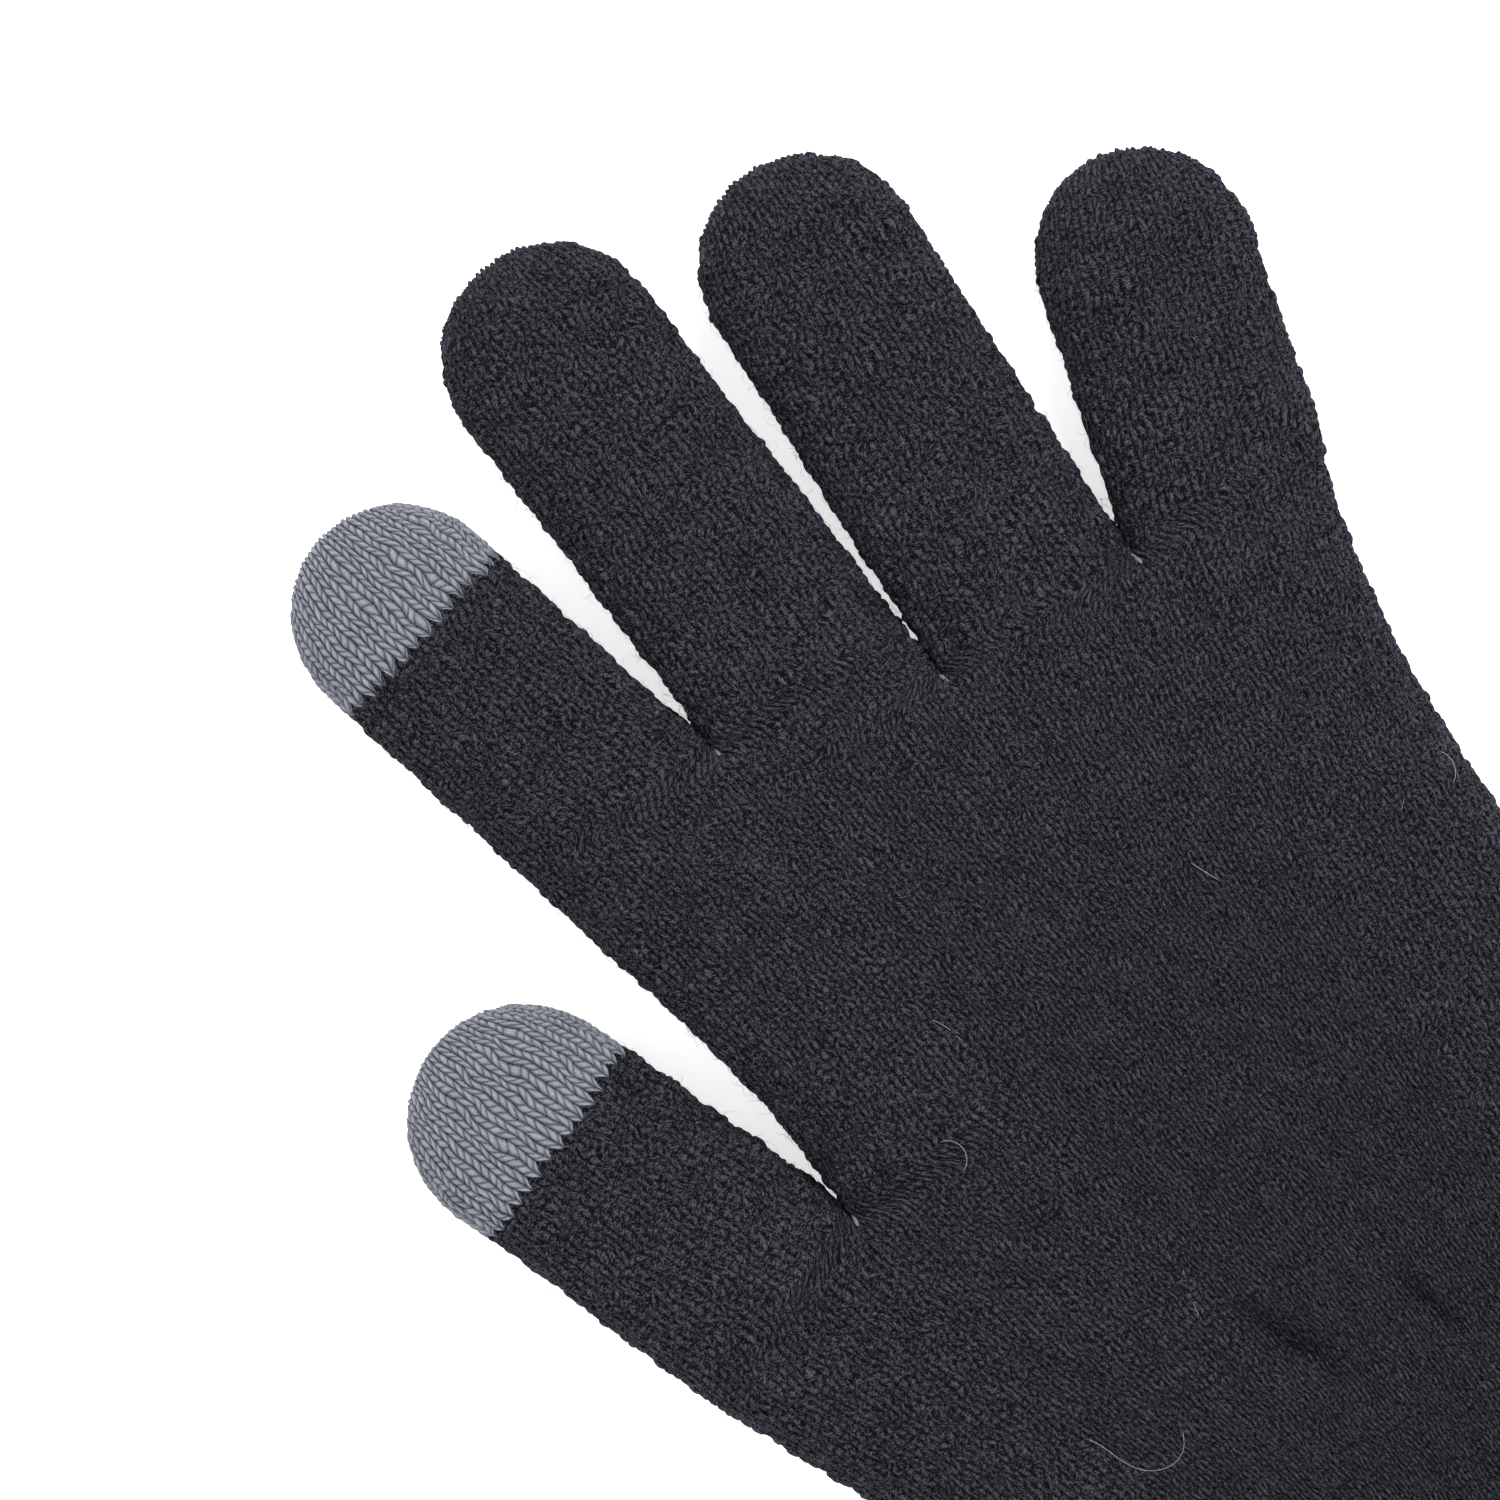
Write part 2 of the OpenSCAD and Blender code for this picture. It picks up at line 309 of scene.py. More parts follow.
class Strip:
    """One strip of knitting: its rows' end points in plan and the numbers that give its heights."""

    def __init__(self, number):
        self.number = number
        self.finger = FINGERS[number]
        self.left_crotch = None if number == 0 else CROTCH_ROWS[number - 1]
        self.right_crotch = None if number == 4 else CROTCH_ROWS[number]
        if number == 0:
            self.lay_thumb()
        else:
            self.lay_finger()
        self.close_tip()

    def lay_thumb(self):
        finger, crotch = self.finger, self.right_crotch
        y = ROW_Y[:crotch + 1]
        right_below = np.stack([STRIP_LINES[0], y], 1)
        crotch_s = (right_below[-1] - finger.origin) @ finger.along
        crotch_gap = (right_below[-1] - finger.origin) @ finger.across - finger.half_width(crotch_s)
        path = np.array(THUMB_OUTER_PATH + [tuple(finger.plan(-finger.half_width(crotch_s), crotch_s))])
        lengths = np.concatenate([[0], np.cumsum(np.linalg.norm(np.diff(path, axis=0), axis=1))])
        at = np.clip((y - WRIST_Y) / (y[-1] - WRIST_Y), 0, 1) * lengths[-1]
        outer = np.stack([smooth_curve(list(zip(lengths, path[:, axis])), at, PATH_BLUR)
                          for axis in (0, 1)], 1)
        outer += (path[-1] - outer[-1]) * fade(at / lengths[-1], 0.8, 0.2)[:, None]
        cuff = np.stack([cuff_left_edge[:crotch + 1], y], 1)
        above_cuff = fade(y, WRIST_Y - THUMB_CUFF_FADE / 2, THUMB_CUFF_FADE)
        left_below = mix(cuff, outer, above_cuff[:, None])
        s = self.rows_beyond(crotch_s)
        half = finger.half_width(s)
        inner = half + crotch_gap * np.exp(-(s - crotch_s) / SETTLE)
        self.left = np.concatenate([left_below, finger.plan(-half, s)])
        self.right = np.concatenate([right_below, finger.plan(inner, s)])
        self.row_s = np.concatenate([(right_below - finger.origin) @ finger.along, s])
        self.course = add_courses(ROW_COURSE[:crotch + 1], len(s))
        thinned = mix(half_thickness[crotch], FINGER_HALF_H, fade(s, crotch_s, THUMB_THINNING))
        self.half_h = np.concatenate([half_thickness[:crotch + 1], thinned])
        rows = len(self.left)
        self.left_round = np.full(rows, THUMB_ROUNDING)
        self.left_deep = np.ones(rows)
        self.right_round = np.full(rows, VALLEY_ROUNDING)
        self.right_deep = np.ones(rows)
        self.right_deep[:crotch + 1] = fade(y, y[-1] - VALLEY, VALLEY)

    def lay_finger(self):
        finger = self.finger
        fold_y = finger.origin[1] + FIRST_FOLD * math.cos(finger.lean)
        level = int(np.searchsorted(ROW_Y, fold_y))
        y = ROW_Y[:level]
        crotches = (self.left_crotch, self.right_crotch)
        self.higher_crotch = max(crotch for crotch in crotches if crotch is not None)
        crotch_y = ROW_Y[self.right_crotch or self.left_crotch]
        left_edge = finger.edge_x(-1, ROW_Y)
        right_side = finger.edge_x(1, ROW_Y)
        if self.number == 1:
            palm = smooth_curve(PALM_LEFT_EDGE, ROW_Y, PATH_BLUR)
            left_edge = mix(palm, left_edge, fade(ROW_Y, *INDEX_EDGE_FADE))
        left = settle(left_edge, STRIP_LINES[self.number - 1], self.left_crotch, level,
                      THUMB_CROTCH_SETTLE if self.number == 1 else SETTLE)
        if self.right_crotch is None:
            right = mix(right_edge, right_side, fade(ROW_Y, *LITTLE_EDGE_FADE))[:level]
        else:
            right = settle(right_side, STRIP_LINES[self.number], self.right_crotch, level)
        level_s = (y - finger.origin[1]) / math.cos(finger.lean)
        s = self.rows_beyond(level_s[-1])
        slope = math.tan(-finger.lean) * (1 - fade(s, FIRST_FOLD, finger.second_fold - FIRST_FOLD))
        half = finger.half_width(s)
        end_left, end_right = [(np.array([edge[-1], y[-1]]) - finger.plan(0, level_s[-1])) @ finger.across
                               for edge in (left, right)]
        settling = np.exp(-(s - level_s[-1]) / LEVEL_SETTLE)
        x_left = -half + (end_left + half[0]) * settling
        x_right = half + (end_right - half[0]) * settling
        self.left = np.concatenate([np.stack([left, y], 1), finger.plan(x_left, s + slope * x_left)])
        self.right = np.concatenate([np.stack([right, y], 1), finger.plan(x_right, s + slope * x_right)])
        self.row_s = np.concatenate([level_s, s])
        self.course = add_courses(ROW_COURSE[:level], len(s))
        reach_y = np.concatenate([y, y[-1] + (s - level_s[-1])])
        self.half_h = smooth_curve(HALF_THICKNESS, reach_y, THICKNESS_BLUR)
        self.left_deep, self.right_deep = [
            np.ones(len(reach_y)) if crotch is None else fade(reach_y, ROW_Y[crotch] - VALLEY, VALLEY)
            for crotch in crotches]
        below_crotch, section_length = FINGER_SECTION_FADE
        finger_part = fade(reach_y, crotch_y - below_crotch, section_length)
        outer_round = mix(np.interp(reach_y, ROW_Y, edge_rounding), finger.tip_half, finger_part)
        self.left_round = np.full(len(reach_y), VALLEY_ROUNDING)
        self.right_round = np.full(len(reach_y), VALLEY_ROUNDING)
        if self.number == 1:
            above_thumb = fade(reach_y, ROW_Y[self.left_crotch], ABOVE_THUMB_FADE)
            self.left_round = mix(VALLEY_ROUNDING, outer_round, above_thumb)
        if self.number == 4:
            self.right_round = outer_round

    def rows_beyond(self, last):
        """Where the rows from `last` to the start of the domed tip lie along the finger."""
        dome_start = self.finger.length - TIP_REACH * self.finger.tip_half
        return last + ROW_STEP * np.arange(1, int((dome_start - last) / ROW_STEP) + 1)

    def close_tip(self):
        """Rows of the tube, its columns spread by length over the surface, then rows of the domed tip."""
        finger = self.finger
        length = np.linalg.norm(self.right - self.left, axis=1)
        fine = (1 - np.cos(np.pi * np.linspace(0, 1, ARC_SAMPLES)))[None, :] / 2
        heights = self.half_h[:, None] * self.crown(fine, length)
        steps = np.hypot(np.diff(fine) * length[:, None], np.diff(heights, axis=1))
        arc = np.concatenate([np.zeros((len(length), 1)), np.cumsum(steps, 1)], 1)
        arc = mix(fine, arc / arc[:, -1:], ARC_SHARE)
        wanted = np.linspace(0, 1, COLUMNS + 1)
        share = np.array([np.interp(wanted, row, fine[0]) for row in arc])
        crown = self.crown(share, length)
        plan = mix(self.left[:, None, :], self.right[:, None, :], share[..., None])
        half_h = np.repeat(self.half_h[:, None], COLUMNS + 1, 1)

        radius = length[-1] / 2
        travel = np.linspace(0, 1, DOME_SAMPLES)
        dome_height = (1 - travel ** SQUARENESS) ** (1 / SQUARENESS) * self.half_h[-1]
        ahead = radius * TIP_REACH
        dome_arc = np.concatenate([[0], np.cumsum(np.hypot(np.diff(travel) * ahead, np.diff(dome_height)))])
        dome_rows = int(mix(ahead, dome_arc[-1], DOME_ARC_SHARE) / ROW_STEP)
        even = mix(travel, dome_arc / dome_arc[-1], DOME_ARC_SHARE)
        v = np.interp(np.linspace(0, 1, dome_rows + 1)[1:], even, travel)[:, None]
        u = (2 * share[-1] - 1)[None, :]
        across = u * np.sqrt(1 - v ** 2 / 2)
        forward = v * np.sqrt(1 - u ** 2 / 2)
        out = np.clip(np.hypot(across, forward), 0, 1)
        for border in (np.s_[-1, :], np.s_[:, 0], np.s_[:, -1]):
            out[border] = 1
        dome_crown = (1 - out ** SQUARENESS) ** (1 / SQUARENESS)
        middle = (self.left[-1] + self.right[-1]) / 2
        dome_plan = (middle + radius * across[..., None] * finger.across
                     + ahead * forward[..., None] * finger.along)
        self.plan = np.concatenate([plan, dome_plan])
        self.crowns = np.concatenate([crown, dome_crown])
        self.half_hs = np.concatenate([half_h, np.full(dome_crown.shape, self.half_h[-1])])
        self.course = add_courses(self.course, dome_rows)
        self.row_s = np.concatenate([self.row_s, self.row_s[-1] + ahead * v[:, 0]])
        self.rows = len(self.course)

    def crown(self, share, length):
        """Height over the mid-level as a share of half the thickness, from 0 at a silhouette to 1."""
        from_left = share * length[:, None]
        from_right = length[:, None] - from_left
        return (rounded_side(from_left, self.left_round, self.left_deep)
                * rounded_side(from_right, self.right_round, self.right_deep))

    def face(self, front):
        """Points of one face before the stitches are raised."""
        if front:
            z = self.half_hs * (1 + self.crowns)
        else:
            z = np.maximum(FLOOR, self.half_hs * (1 - SINK * self.crowns))
            z = mix(self.half_hs, z, np.minimum(1, self.crowns * LOWER_EASE))
        return np.concatenate([self.plan, z[..., None]], -1)

    def wale(self, front):
        turn = np.arange(COLUMNS + 1) / COLUMNS_PER_WALE
        start = self.number * WALES + WALE_SHIFT
        return start + turn if front else start - turn


def rounded_side(distance, rounding, deep):
    inward = np.clip(distance / rounding[:, None], 0, 1)
    profile = (1 - (1 - inward) ** SQUARENESS) ** (1 / SQUARENESS)
    return 1 - deep[:, None] * (1 - profile)


STRIPS = [Strip(number) for number in range(5)]

# ---- the welded surface ----

GREY_FROM = {}
for strip in STRIPS[:2]:
    boundary_row = int(np.abs(strip.row_s - strip.finger.tip_start).argmin())
    GREY_FROM[strip.number] = float(strip.course[boundary_row])
TOOTH = 1.15             # courses by which the grey knit's points reach down between the black ones


def grid_ids(start, rows):
    return start + np.arange(rows * (COLUMNS + 1)).reshape(rows, COLUMNS + 1)


ids, total = {}, 0
for strip in STRIPS:
    for front in (True, False):
        ids[strip.number, front] = grid_ids(total, strip.rows)
        total += strip.rows * (COLUMNS + 1)

alias = np.arange(total)
for strip in STRIPS:
    n = strip.number
    above_right = slice(0 if strip.right_crotch is None else strip.right_crotch, None)
    above_left = slice(0 if strip.left_crotch is None else strip.left_crotch, None)
    alias[ids[n, False][above_right, -1]] = ids[n, True][above_right, -1]
    alias[ids[n, False][above_left, 0]] = ids[n, True][above_left, 0]
    alias[ids[n, False][-1, :]] = ids[n, True][-1, :]
    if n:
        shared = slice(0, strip.left_crotch + 1)
        for front in (True, False):
            alias[ids[n, front][shared, 0]] = ids[n - 1, front][shared, -1]
for _ in range(6):
    alias = alias[alias]


RIDGE_POWER = 3.0        # how square a leg is across, and how sudden the notch between two legs
NOTCH_POWER = 3.0
NOTCH_DEPTH = 0.72


def stitch_height(wale, course):
    """Height of a stitch from 0 in the grooves to 1 on a leg, its random number and its course."""
    side = np.abs(wale - np.floor(wale) - 0.5) * 2
    climb = course - SLANT * side
    notch = np.abs(2 * (climb - np.floor(climb)) - 1)
    ridge = 1 - np.abs(2 * side - 1) ** RIDGE_POWER
    height = ridge * (1 - NOTCH_DEPTH * notch ** NOTCH_POWER)
    half = np.floor(wale * 2)
    return height, scatter(half, np.floor(climb)), climb


TURN = 6.28              # a turn in radians, near enough for random angles
WAVES = 9
WAVE_LENGTH = (14, 34)
PUFF = 0.28              # how far the soft waves lift the surface


def soft_waves(x, y, seed):
    """A smooth random field, about from -1 to 1, that varies over about 20 mm."""
    waves = np.random.default_rng(seed)
    field = np.zeros_like(x)
    for _ in range(WAVES):
        angle, length, phase = waves.uniform(0, TURN), waves.uniform(*WAVE_LENGTH), waves.uniform(0, TURN)
        field += np.sin((x * math.cos(angle) + y * math.sin(angle)) / length * TURN + phase)
    return field / math.sqrt(WAVES)


# Shallow creases of the palm near the wrist: start, end, depth and width
CREASES = [((-3.3, -24), (4.5, -42), 1.9, 1.3), ((14.3, -32), (18, -45), 1.5, 1.2),
           ((27, -38), (30, -52), 0.7, 2.5)]
CREASE_PAINTED_SHADE = 0.45      # painted shade: the tone is darkened along a crease, on top of the shade its shape casts


def crease_depth(plan):
    depth = np.zeros(plan.shape[:-1])
    for start, end, deep, width in CREASES:
        start, end = np.array(start, float), np.array(end, float)
        run = end - start
        t = np.clip(((plan - start) @ run) / (run @ run), 0, 1)
        away = np.linalg.norm(plan - (start + t[..., None] * run), axis=-1)
        depth += deep * np.exp(-0.5 * (away / width) ** 2) * np.sin(np.pi * np.clip(t, 0.03, 0.97))
    return depth


BLACK_SIZES = (0.45, 1.55)    # least and greatest relief of a stitch, as shares of the usual
GREY_SIZES = (0.75, 1.25)
GREY_BLEND = 2                # courses over which the evener lie of the grey knit sets in
NO_COURSE = 1e9               # a course that no strip reaches
SURFACE_BOTTOM = 0.02
FIBRE_BOTTOM = 0.03

points = np.zeros((total, 3))
relief = np.zeros(total)
tone = np.zeros(total)
stitch_of = np.zeros((total, 2))
stitch_grids = {}
for strip in reversed(STRIPS):
    for front in (False, True):
        place = strip.face(front)
        plan = place[..., :2]
        x, y = plan[..., 0], plan[..., 1]
        grey_from = GREY_FROM.get(strip.number, NO_COURSE)
        is_tip = fade(strip.course[:, None], grey_from, GREY_BLEND)
        is_cuff = ease((WRIST_Y + 3 - y) / 5)
        wander = mix(*WALE_WANDER, is_tip) * mix(1, RIB_CALM, is_cuff) * np.minimum(1, strip.crowns * 3)
        wale = strip.wale(front)[None, :] + wander * lattice_noise(x, y, WANDER_CELL, 1)
        course = strip.course[:, None] + mix(*COURSE_WANDER, is_tip) * lattice_noise(x, y, WANDER_CELL, 2)
        stitch_grids[strip.number, front] = np.stack([wale, course], -1)
        height, number, climb = stitch_height(wale, course)
        grey = climb >= grey_from
        size = np.where(grey, GREY_RELIEF * mix(*GREY_SIZES, number),
                        BLACK_RELIEF * mix(*BLACK_SIZES, number))
        lumps = lattice_noise(x, y, LUMP_CELL, 3) * mix(*LUMP_RELIEF, is_tip)
        out = size * height + lumps - MEAN_RELIEF
        rib = 0.5 + 0.5 * np.cos(np.pi * (strip.wale(front)[None, :] - 0.5))
        out = out + (RIB_RELIEF * rib - MEAN_RELIEF) * is_cuff
        number = number - RIB_SHADE * (1 - rib) * is_cuff
        puffed = soft_waves(x, y, 3) * PUFF * np.minimum(1, strip.crowns * 2)
        out = out + np.where(grey, puffed / 2, puffed)
        out = mix(-TUCK / 2, out, fade(y, HEM_TOP, HEM_DRAW))
        if front:
            crease = crease_depth(plan)
            out = out - crease
            # Painted shade: the crease's depth also darkens the tone
            number = number - CREASE_PAINTED_SHADE * crease
        where = ids[strip.number, front]
        points[where] = place
        relief[where] = out
        # Stored for the shader: each stitch's random tone, with painted shade in the cuff's purl wales and
        # along the creases
        tone[where] = number
        stitch_of[where] = stitch_grids[strip.number, front]


def cell_corners(grid, order):
    """The values at the four corners of each cell of a grid, taken round it in an order."""
    return np.stack([grid[:-1, :-1], grid[:-1, 1:], grid[1:, 1:], grid[1:, :-1]], 2)[:, :, order]


def surface_quads():
    """Corner ids, stitch coordinates and labels of every quad: strip, face, row, column."""
    corners, stitch, labels = [], [], []
    for strip in STRIPS:
        for front in (True, False):
            order = [0, 1, 2, 3] if front else [0, 3, 2, 1]
            corners.append(cell_corners(ids[strip.number, front], order).reshape(-1, 4))
            stitch.append(cell_corners(stitch_grids[strip.number, front], order).reshape(-1, 4, 2))
            row, column = np.mgrid[0:strip.rows - 1, 0:COLUMNS]
            label = [np.full(row.shape, strip.number), np.full(row.shape, int(front)), row, column]
            labels.append(np.stack(label, -1).reshape(-1, 4))
    return alias[np.concatenate(corners)], np.concatenate(stitch), np.concatenate(labels)


quads, quad_stitch, quad_label = surface_quads()


def vertex_normals(place, faces):
    span_a = place[faces[:, 2]] - place[faces[:, 0]]
    span_b = place[faces[:, 3]] - place[faces[:, 1]]
    face_normals = np.cross(span_a, span_b)
    normals = np.zeros_like(place)
    for corner in range(4):
        for axis in range(3):
            normals[:, axis] += np.bincount(faces[:, corner], face_normals[:, axis], len(place))
    size = np.linalg.norm(normals, axis=1, keepdims=True)
    return normals / np.maximum(size, 1e-12)


base_normals = vertex_normals(points, quads)
points = points + base_normals * relief[:, None]
points[:, 2] = np.maximum(points[:, 2], SURFACE_BOTTOM)
normals = vertex_normals(points, quads)


# ---- meshes ----

def new_piece(name, place, faces, stitch, bake, shade, material, triangles=None, shading_normals=None):
    """A piece from quads, and triangles whose coordinates are those of their root stitch."""
    triangles = np.zeros((0, 3), int) if triangles is None else triangles
    mesh = bpy.data.meshes.new(name)
    mesh.vertices.add(len(place))
    mesh.vertices.foreach_set("co", (place * MM).astype(np.float32).ravel())
    corners = np.concatenate([faces.ravel(), triangles.ravel()])
    mesh.loops.add(len(corners))
    mesh.loops.foreach_set("vertex_index", corners.astype(np.int32))
    starts = np.concatenate([np.arange(len(faces)) * 4, len(faces) * 4 + np.arange(len(triangles)) * 3])
    mesh.polygons.add(len(starts))
    mesh.polygons.foreach_set("loop_start", starts.astype(np.int32))
    mesh.polygons.foreach_set("use_smooth", np.ones(len(starts), bool))
    mesh.update(calc_edges=True)
    mesh.validate()
    for layer_name, values in (("OFBake", bake), ("stitch", stitch)):
        layer = mesh.uv_layers.new(name=layer_name)
        layer.data.foreach_set("uv", values.astype(np.float32).ravel())
    attribute = mesh.attributes.new("tone", "FLOAT", "POINT")
    attribute.data.foreach_set("value", shade.astype(np.float32))
    mesh.materials.append(material)
    if shading_normals is not None:
        mesh.normals_split_custom_set_from_vertices(shading_normals.astype(np.float32))
    piece = bpy.data.objects.new(name, mesh)
    bpy.context.scene.collection.objects.link(piece)
    return piece


random = np.random.default_rng(RANDOM_SEED)
FUZZ_SEGMENTS = 3
FUZZ_SIDES = 3
FUZZ_LENGTH = (0.7, 2.2)
FUZZ_RISE = (0.1, 0.55)  # height of a fibre's arch, as a share of its length
FUZZ_CURL = (-0.8, 0.8)
FUZZ_RADIUS = 0.022
FUZZ_TAPER = 0.7
FUZZ_SINK = 0.05
FUZZ_PER_QUAD = 0.035


def fuzz(roots, root_normals, count):
    """Loose fibres as closed three-sided strands: their points, quads, triangles and root numbers."""
    chosen = random.integers(0, len(roots), count)
    up = root_normals[chosen]
    side = random.normal(size=(count, 3))
    side -= (side * up).sum(1, keepdims=True) * up
    side /= np.linalg.norm(side, axis=1, keepdims=True)
    cross = np.cross(up, side)
    length, rise, curl = [random.uniform(*limits, count)[:, None]
                          for limits in (FUZZ_LENGTH, FUZZ_RISE, FUZZ_CURL)]
    rings = []
    for step in range(FUZZ_SEGMENTS + 1):
        t = step / FUZZ_SEGMENTS
        centre = roots[chosen] + length * (side * t + cross * curl * t * t
                                           + up * rise * math.sin(math.pi * min(1, 0.15 + t * 0.75)))
        centre = centre - up * FUZZ_SINK
        thin = FUZZ_RADIUS * (1 - FUZZ_TAPER * t)
        for corner in range(FUZZ_SIDES):
            angle = corner * 2 * math.pi / FUZZ_SIDES
            rings.append(centre + thin * (cross * math.cos(angle) + up * math.sin(angle)))
    place = np.stack(rings, 1).reshape(-1, 3)
    place[:, 2] = np.maximum(place[:, 2], FIBRE_BOTTOM)
    per = FUZZ_SIDES * (FUZZ_SEGMENTS + 1)
    first = np.arange(count)[:, None, None] * per
    sides = []
    for a in range(per - FUZZ_SIDES):
        b = a + 1 if (a + 1) % FUZZ_SIDES else a + 1 - FUZZ_SIDES
        sides.append([a, b, b + FUZZ_SIDES, a + FUZZ_SIDES])
    caps = [[2, 1, 0], [per - 3, per - 2, per - 1]]
    strand_quads = (np.array(sides) + first).reshape(-1, 4)
    strand_caps = (np.array(caps) + first).reshape(-1, 3)
    return place, strand_quads, strand_caps, np.repeat(chosen, per)


def bake_layout(labels):
    """Each quad's corners in the unit square, the two faces of the glove side by side."""
    corner_column = np.array([[0, 1, 1, 0], [0, 0, 1, 1]])
    corner_row = np.array([[0, 0, 1, 1], [0, 1, 1, 0]])
    strip, front, row, column = labels.T
    back = 1 - front
    u = (strip * COLUMNS + column)[:, None] + corner_column[back]
    v = row[:, None] + corner_row[back]
    u = (u - u.min()) / (u.max() - u.min())
    v = (v - v.min()) / (v.max() - v.min())
    if front.min() != front.max():
        u = u * 0.49 + 0.51 * back[:, None]
    return np.stack([u, v], -1).reshape(-1, 2)


def cut_piece(name, chosen, material, fuzz_share=1.0):
    """The chosen quads of the surface as a piece of its own, with its loose fibres."""
    used, faces = np.unique(quads[chosen], return_inverse=True)
    faces = faces.reshape(-1, 4)
    place, shade, shading = points[used], tone[used], normals[used]
    count = int(len(faces) * FUZZ_PER_QUAD * fuzz_share)
    strands, strand_quads, strand_caps, root = fuzz(place, shading, count)
    strand_corners = np.concatenate([strand_quads.ravel(), strand_caps.ravel()])
    stitch = np.concatenate([quad_stitch[chosen].reshape(-1, 2), stitch_of[used][root][strand_corners]])
    bake = np.concatenate([bake_layout(quad_label[chosen]), np.full((len(strand_corners), 2), 0.5)])
    offset = len(place)
    faces = np.concatenate([faces, strand_quads + offset])
    place = np.concatenate([place, strands])
    shade = np.concatenate([shade, shade[root]])
    shading = np.concatenate([shading, shading[root]])
    return new_piece(name, place, faces, stitch, bake, shade, material, strand_caps + offset, shading)


# ---- materials ----

def srgb(*levels):
    def linear(c):
        c /= 255
        return c / 12.92 if c <= 0.04045 else ((c + 0.055) / 1.055) ** 2.4
    return tuple(linear(c) for c in levels) + (1.0,)


BUMP_STRENGTH = 0.8
SPECULAR = 0.08          # wool hardly shines
SHEEN_ROUGHNESS = 0.6


class Nodes:
    """Small helper that adds and links shader nodes."""

    def __init__(self, material):
        material.use_nodes = True
        self.tree = material.node_tree
        self.tree.nodes.clear()

    def add(self, kind, **settings):
        node = self.tree.nodes.new(kind)
        for key, value in settings.items():
            setattr(node, key, value)
        return node

    def feed(self, value, socket):
        if isinstance(value, bpy.types.NodeSocket):
            self.tree.links.new(value, socket)
        else:
            socket.default_value = value

    def math(self, operation, a, b=0.0, clamp=False):
        node = self.add("ShaderNodeMath", operation=operation, use_clamp=clamp)
        self.feed(a, node.inputs[0])
        self.feed(b, node.inputs[1])
        return node.outputs[0]

    def plus(self, *values):
        total = values[0]
        for value in values[1:]:
            total = self.math("ADD", total, value)
        return total

    def minus(self, a, b):
        return self.math("SUBTRACT", a, b)

    def times(self, a, b):
        return self.math("MULTIPLY", a, b)

    def spread(self, value, amount):
        """A value from 0 to 1 turned into one round 0 that is `amount` wide."""
        return self.times(self.minus(value, 0.5), amount)

    def off_middle(self, share):
        """Distance of a share from one half, as a share of that half."""
        return self.math("ABSOLUTE", self.minus(self.times(share, 2.0), 1.0))

    def clamp(self, value):
        return self.math("ADD", value, 0.0, clamp=True)

    def mix(self, factor, a, b, blend="MIX"):
        node = self.add("ShaderNodeMix", data_type="RGBA", blend_type=blend)
        self.feed(factor, node.inputs["Factor"])
        self.feed(a, node.inputs["A"])
        self.feed(b, node.inputs["B"])
        return next(o for o in node.outputs if o.type == "RGBA")

    def noise(self, vector, scale, detail=2.0, roughness=0.5):
        node = self.add("ShaderNodeTexNoise")
        self.feed(vector, node.inputs["Vector"])
        node.inputs["Scale"].default_value = scale
        node.inputs["Detail"].default_value = detail
        node.inputs["Roughness"].default_value = roughness
        return node.outputs["Fac"]

    def combine(self, x, y, z=0.0):
        node = self.add("ShaderNodeCombineXYZ")
        for value, socket in zip((x, y, z), node.inputs):
            self.feed(value, socket)
        return node.outputs[0]

    def surface(self, colour, height, distance, roughness, sheen, sheen_tint, glow=0.0):
        bump = self.add("ShaderNodeBump")
        bump.inputs["Strength"].default_value = BUMP_STRENGTH
        bump.inputs["Distance"].default_value = distance
        self.feed(height, bump.inputs["Height"])
        shader = self.add("ShaderNodeBsdfPrincipled")
        self.feed(colour, shader.inputs["Base Color"])
        self.feed(roughness, shader.inputs["Roughness"])
        shader.inputs["Specular IOR Level"].default_value = SPECULAR
        shader.inputs["Sheen Weight"].default_value = sheen
        shader.inputs["Sheen Roughness"].default_value = SHEEN_ROUGHNESS
        shader.inputs["Sheen Tint"].default_value = sheen_tint
        shader.inputs["Emission Color"].default_value = (1, 1, 1, 1)
        shader.inputs["Emission Strength"].default_value = glow
        self.tree.links.new(bump.outputs[0], shader.inputs["Normal"])
        output = self.add("ShaderNodeOutputMaterial")
        self.tree.links.new(shader.outputs[0], output.inputs["Surface"])


MEAN_WALE = 1.8          # width of a stitch, for texture scales
TOOTH_MARGIN = 0.1       # the grey starts this far, in courses, before the surface's own boundary
KNIT_BUMP = 0.00035
THREAD_BUMP = 0.0002
KNIT_SHEEN = 0.05
THREAD_SHEEN = 0.15


